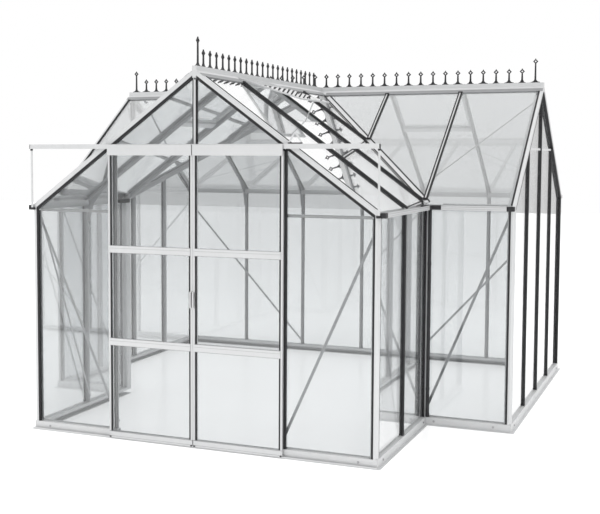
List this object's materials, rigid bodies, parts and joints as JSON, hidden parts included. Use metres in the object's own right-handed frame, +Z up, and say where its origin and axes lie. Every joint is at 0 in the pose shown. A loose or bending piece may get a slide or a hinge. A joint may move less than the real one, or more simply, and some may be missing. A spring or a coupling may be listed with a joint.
{
  "type": "glass greenhouse",
  "caption": "T-plan aluminium and glass greenhouse with a gabled porch, sliding doors, roof vents and ridge cresting on a low steel base.",
  "frame": {"origin": "on the ground under the middle of the outline", "axes": "+Z up, -Y out of the doors, X across the doors and along the cross wing"},
  "size_m": [3.852, 3.892, 2.763],
  "materials": {
    "aluminium": "satin mill finish",
    "base_steel": "galvanised satin",
    "black_plastic": "satin",
    "glass": "polished"
  },
  "bodies": {
    "greenhouse": {"base_front": "base_steel", "base_sides": "base_steel", "base_notches": "base_steel", "base_back": "base_steel", "sills": "aluminium", "corner_posts": "aluminium", "door_jambs": "aluminium", "door_header": "aluminium", "front_gable_bars": "aluminium", "porch_side_bars": "aluminium", "wing_end_bars": "aluminium", "back_wall_bars": "aluminium", "gutters": "aluminium", "gutter_caps": "black_plastic", "downpipes": "black_plastic", "front_rakes": "aluminium", "wing_rakes": "aluminium", "porch_ridge": "aluminium", "cross_ridge": "aluminium", "valley_bars": "aluminium", "porch_rafters": "aluminium", "wing_rafters": "aluminium", "back_rafters": "aluminium", "knee_plates": "aluminium", "wall_braces": "aluminium", "roof_straps": "aluminium", "end_ties": "aluminium", "vent_sills": "aluminium", "vent_frames": "aluminium", "vent_glass": "glass", "vent_stay": "aluminium", "ridge_cresting": "black_plastic", "gable_finials": "black_plastic", "front_glass": "glass", "porch_side_glass": "glass", "notch_glass": "glass", "wing_end_glass": "glass", "back_glass": "glass", "porch_roof_glass": "glass", "wing_roof_glass": "glass", "back_roof_glass": "glass", "door_rail": "aluminium", "rail_supports": "aluminium", "door_guide": "aluminium"},
    "left_door": {"left_door_stiles": "aluminium", "left_door_rails": "aluminium", "left_door_glass": "glass", "left_door_handle": "aluminium", "left_door_rollers": "black_plastic"},
    "right_door": {"right_door_stiles": "aluminium", "right_door_rails": "aluminium", "right_door_glass": "glass", "right_door_handle": "aluminium", "right_door_rollers": "black_plastic"}
  },
  "joints": [
    {"name": "left_door_slide", "type": "slide", "parent": "greenhouse", "child": "left_door", "axis": [-1, 0, 0], "range_m": [0, 0.6]},
    {"name": "right_door_slide", "type": "slide", "parent": "greenhouse", "child": "right_door", "axis": [1, 0, 0], "range_m": [0, 0.6]}
  ]
}
